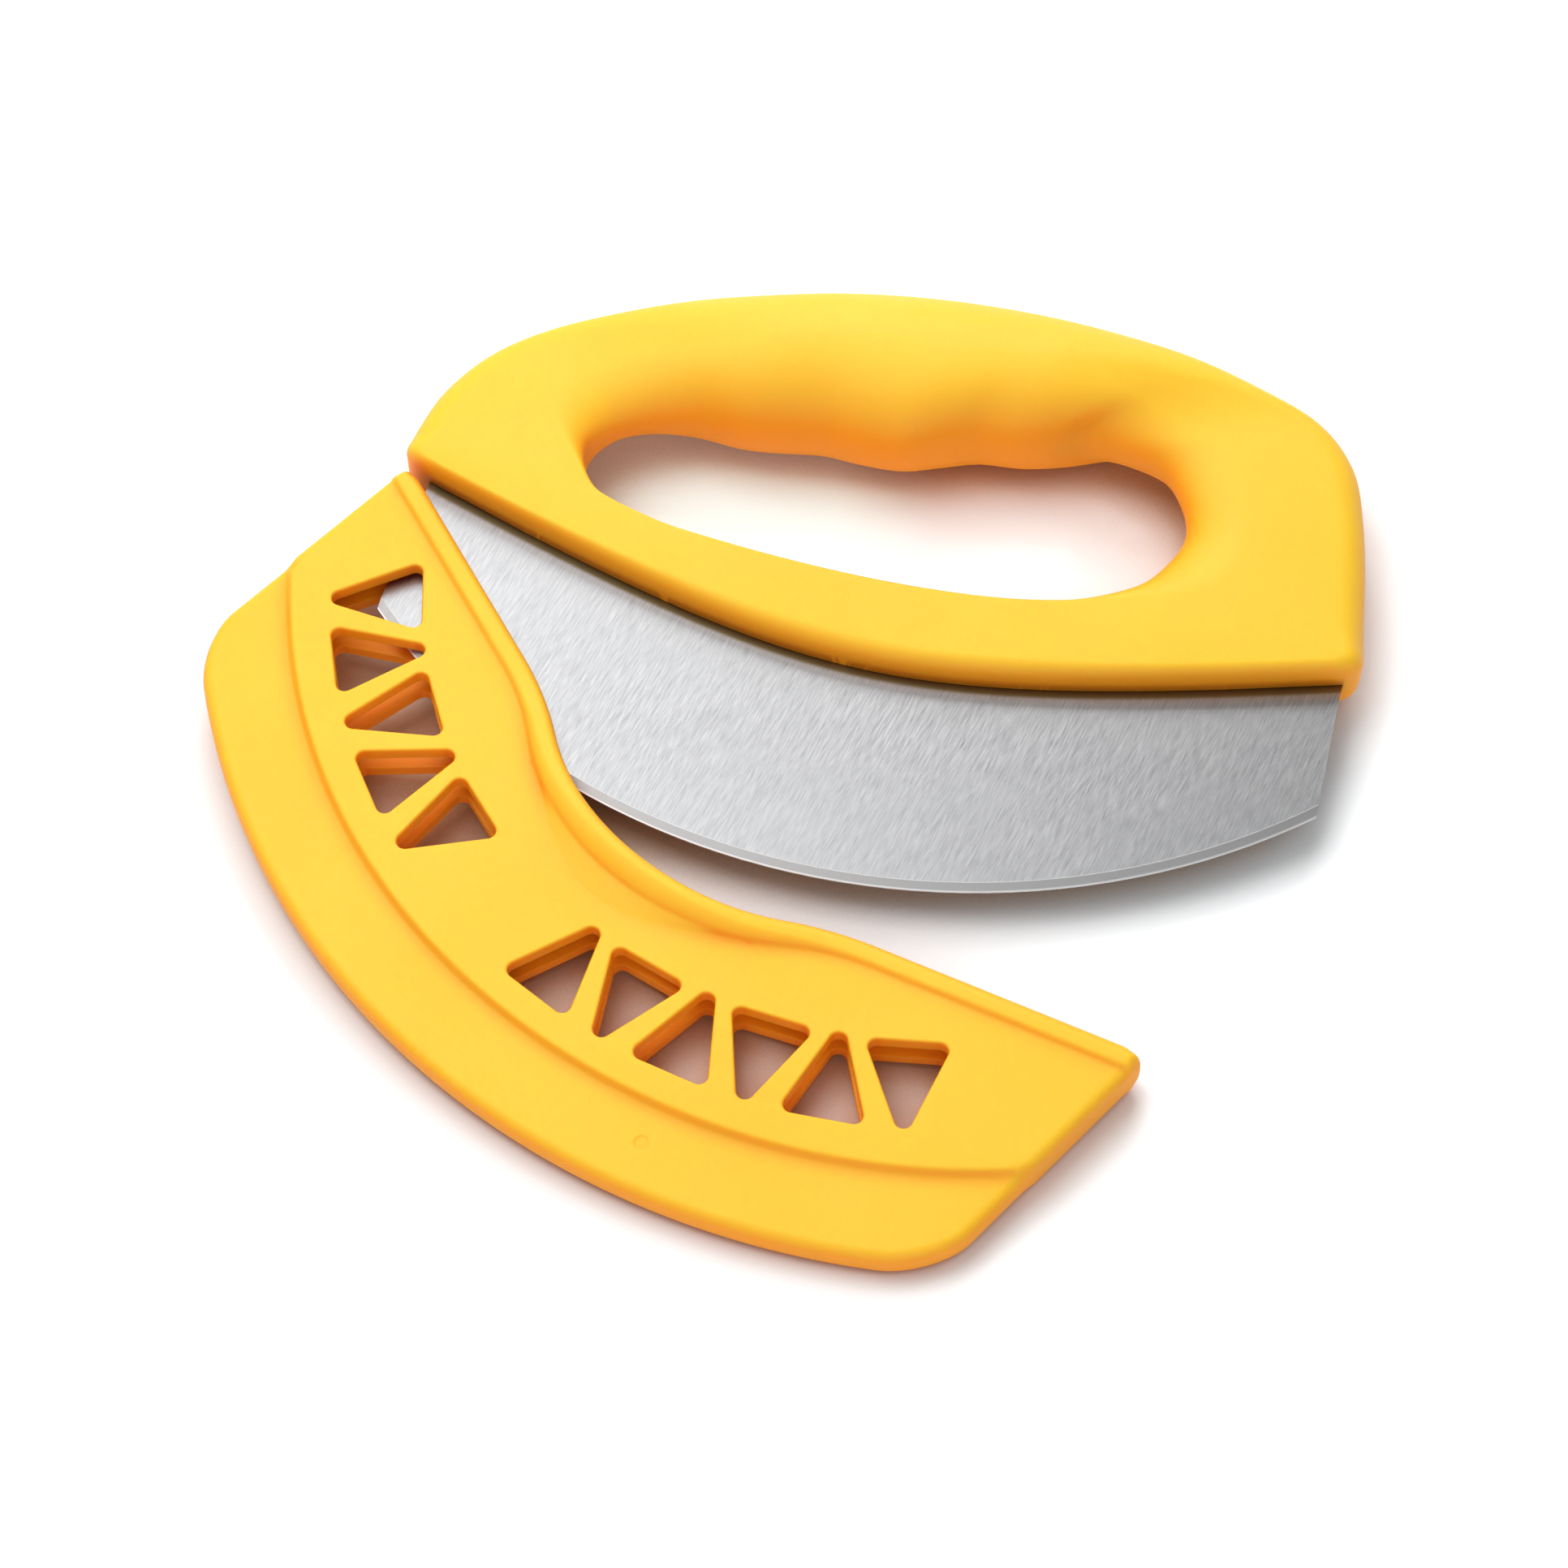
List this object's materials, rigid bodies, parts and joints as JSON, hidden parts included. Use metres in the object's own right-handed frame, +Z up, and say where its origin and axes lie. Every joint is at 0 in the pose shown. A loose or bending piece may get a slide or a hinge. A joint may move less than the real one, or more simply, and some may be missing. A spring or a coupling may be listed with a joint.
{
  "type": "pizza cutter",
  "caption": "Rocking pizza cutter: a wide curved steel blade moulded into a closed loop handle, with a flat plastic cover swung half off the blade.",
  "frame": {"origin": "on the table, under the middle of the whole object's box", "axes": "+X along the grip towards the blade's free end, +Y from the cover towards the grip, +Z up from the table"},
  "size_m": [0.1766, 0.1712, 0.0221],
  "materials": {
    "steel": "brushed crosswise, ground bevel on both sides",
    "core_plastic": "unpainted, hidden inside the handle",
    "handle_plastic": "fine satin moulding",
    "cover_plastic": "fine satin moulding"
  },
  "bodies": {
    "cutter": {"handle_skin": "handle_plastic", "handle_core": "core_plastic", "blade": "steel"},
    "cover": {"blade_cover": "cover_plastic"}
  },
  "joints": [
    {"name": "cover_swing", "type": "hinge", "parent": "cutter", "child": "cover", "pos_m": [-0.05961, 0.04032, 0.00953], "axis": [0, -0.053, 0.9986], "range_deg": [-15, 28.57]}
  ]
}
